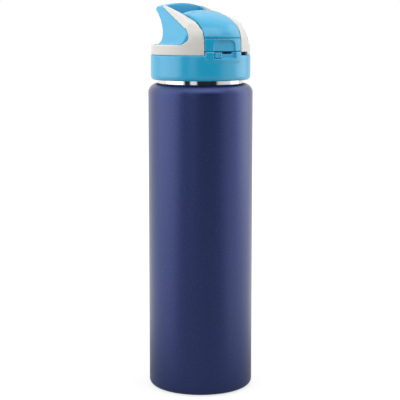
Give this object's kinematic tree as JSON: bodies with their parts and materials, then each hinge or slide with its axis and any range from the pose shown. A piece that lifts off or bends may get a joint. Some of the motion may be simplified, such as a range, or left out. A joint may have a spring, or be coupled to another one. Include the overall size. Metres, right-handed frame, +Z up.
{
  "type": "water bottle",
  "caption": "Slim double-walled steel drinking bottle with a screw cap, a push-button flip lid over a soft spout, and a looped finger handle.",
  "frame": {"origin": "centre of the ring that the flask stands on, on the flask's axis", "axes": "+Z up the flask's axis, -Y towards the push button, +Y towards the handle's tip"},
  "size_m": [0.073, 0.073, 0.2706],
  "materials": {
    "powder_coat": "fine textured satin",
    "steel": "satin",
    "polished_steel": "polished",
    "solder_glass": "glassy",
    "getter_metal": "sintered",
    "blue_plastic": "semi-gloss",
    "white_plastic": "semi-gloss",
    "silicone": "soft matte",
    "spring_steel": "drawn wire"
  },
  "bodies": {
    "flask": {"outer_shell": "powder_coat", "outer_base": "steel", "vacuum_plug": "solder_glass", "getter": "getter_metal", "liner": "polished_steel", "liner_bottom": "steel"},
    "seal_ring": {"neck_gasket": "silicone"},
    "cap": {"collar": "blue_plastic", "ring_and_rails": "white_plastic", "handle": "blue_plastic", "spout": "silicone", "spout_retainer": "blue_plastic", "air_valve": "silicone", "hinge_pin": "steel", "lid_spring": "spring_steel", "button_spring": "spring_steel"},
    "lid": {"lid_shell": "blue_plastic", "lid_liner": "white_plastic", "lid_seal": "silicone"},
    "button": {"push_button": "blue_plastic"},
    "lock": {"lock_slider": "blue_plastic"}
  },
  "joints": [
    {"name": "cap_lift", "type": "slide", "parent": "flask", "child": "seal_ring", "axis": [0, 0, 1], "range_m": [0, 0.0161]},
    {"name": "cap_turn", "type": "hinge", "parent": "seal_ring", "child": "cap", "pos_m": [0, 0, 0.2348], "axis": [0, 0, 1], "range_deg": [0, 1440]},
    {"name": "lid_hinge", "type": "hinge", "parent": "cap", "child": "lid", "pos_m": [0, -0.0024, 0.2585], "axis": [-1, 0, 0], "range_deg": [0, 110], "deforming": ["lid_spring"]},
    {"name": "button_press", "type": "slide", "parent": "cap", "child": "button", "axis": [0, 1, 0], "range_m": [0, 0.0016], "stiffness_N_per_m": 300, "deforming": ["button_spring"]},
    {"name": "lock_slide", "type": "slide", "parent": "cap", "child": "lock", "axis": [1, 0, 0], "range_m": [0, 0.0096]}
  ],
  "couplings": [
    {"joint": "cap_lift", "follows": "cap_turn", "m_per_rad": 0.00063662}
  ]
}
